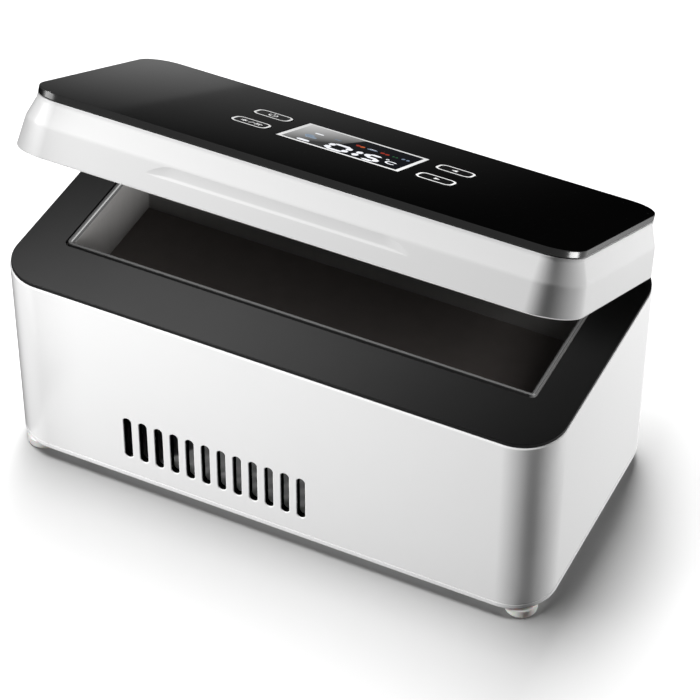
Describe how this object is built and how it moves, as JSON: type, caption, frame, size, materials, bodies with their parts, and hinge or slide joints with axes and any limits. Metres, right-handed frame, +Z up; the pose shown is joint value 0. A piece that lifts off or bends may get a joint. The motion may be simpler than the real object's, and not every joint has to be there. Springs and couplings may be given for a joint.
{
  "type": "insulin cooling case",
  "caption": "Table-top powered cooling case for insulin pens: white rounded box with a vented front, a metal-lined well and a hinged lid that carries a display and soft-travel keys.",
  "frame": {"origin": "on the standing surface, under the middle of the whole case with its lid at rest", "axes": "+X along the front to the right, +Y from the front to the hinge side, +Z up"},
  "size_m": [0.207, 0.108, 0.1475],
  "materials": {
    "white_plastic": "gloss",
    "dark_plastic": "satin",
    "black_panel": "polished",
    "clear_window": "polished",
    "display_face": "gloss",
    "grey_plastic": "satin",
    "foot_rubber": "satin",
    "gasket_rubber": "matte",
    "bright_aluminium": "satin",
    "dark_aluminium": "satin",
    "steel": "satin",
    "foam": "matte",
    "module_ceramic": "satin",
    "circuit_board": "satin",
    "cell_wrap": "satin",
    "lead_jacket": "satin"
  },
  "bodies": {
    "case": {"body_shell": "white_plastic", "base_cover": "white_plastic", "top_rim": "dark_plastic", "well_trim": "bright_aluminium", "cold_tray": "dark_aluminium", "body_insulation": "foam", "cold_block": "bright_aluminium", "peltier_module": "module_ceramic", "heat_sink": "bright_aluminium", "fan_frame": "dark_plastic", "battery_holder": "dark_plastic", "battery_cell_1": "cell_wrap", "battery_cell_2": "cell_wrap", "battery_cell_3": "cell_wrap", "main_board": "circuit_board", "dc_socket": "dark_plastic", "foot_front_left": "foot_rubber", "foot_front_right": "foot_rubber", "foot_back_right": "foot_rubber", "foot_back_left": "foot_rubber", "cover_screw_front_left": "steel", "cover_screw_front_right": "steel", "cover_screw_back_right": "steel", "cover_screw_back_left": "steel", "board_screw_front": "steel", "board_screw_back": "steel", "rim_magnet_left": "steel", "rim_magnet_right": "steel", "display_lead_body": "lead_jacket", "fan_lead": "lead_jacket", "battery_lead": "lead_jacket", "peltier_lead": "lead_jacket", "temperature_probe": "lead_jacket"},
    "fan": {"fan_rotor": "dark_plastic"},
    "lid": {"lid_shell": "white_plastic", "lid_liner": "grey_plastic", "lid_gasket": "gasket_rubber", "lid_insulation": "foam", "lid_panel": "black_panel", "display_window": "clear_window", "display_module": "display_face", "display_board": "circuit_board", "power_switch": "dark_plastic", "mode_switch": "dark_plastic", "up_switch": "dark_plastic", "down_switch": "dark_plastic", "liner_screw_front_left": "steel", "liner_screw_front_right": "steel", "liner_screw_back_right": "steel", "liner_screw_back_left": "steel", "lid_magnet_left": "steel", "lid_magnet_right": "steel", "hinge_pin_left": "steel", "hinge_pin_right": "steel", "display_lead_lid": "lead_jacket"},
    "power": {"power_key": "black_panel"},
    "mode": {"mode_key": "black_panel"},
    "up": {"up_key": "black_panel"},
    "down": {"down_key": "black_panel"}
  },
  "joints": [
    {"name": "lid_hinge", "type": "hinge", "parent": "case", "child": "lid", "pos_m": [0, 0.04628, 0.0863], "axis": [-1, 0, 0], "range_deg": [-27.9, 60]},
    {"name": "fan_spin", "type": "hinge", "parent": "case", "child": "fan", "pos_m": [-0.01965, -0.00197, 0.0187], "axis": [0, 0, 1], "continuous": true},
    {"name": "power_press", "type": "slide", "parent": "lid", "child": "power", "axis": [0, -0.4679, -0.8838], "range_m": [0, 0.0006], "stiffness_N_per_m": 1500},
    {"name": "mode_press", "type": "slide", "parent": "lid", "child": "mode", "axis": [0, -0.4679, -0.8838], "range_m": [0, 0.0006], "stiffness_N_per_m": 1500},
    {"name": "up_press", "type": "slide", "parent": "lid", "child": "up", "axis": [0, -0.4679, -0.8838], "range_m": [0, 0.0006], "stiffness_N_per_m": 1500},
    {"name": "down_press", "type": "slide", "parent": "lid", "child": "down", "axis": [0, -0.4679, -0.8838], "range_m": [0, 0.0006], "stiffness_N_per_m": 1500}
  ]
}
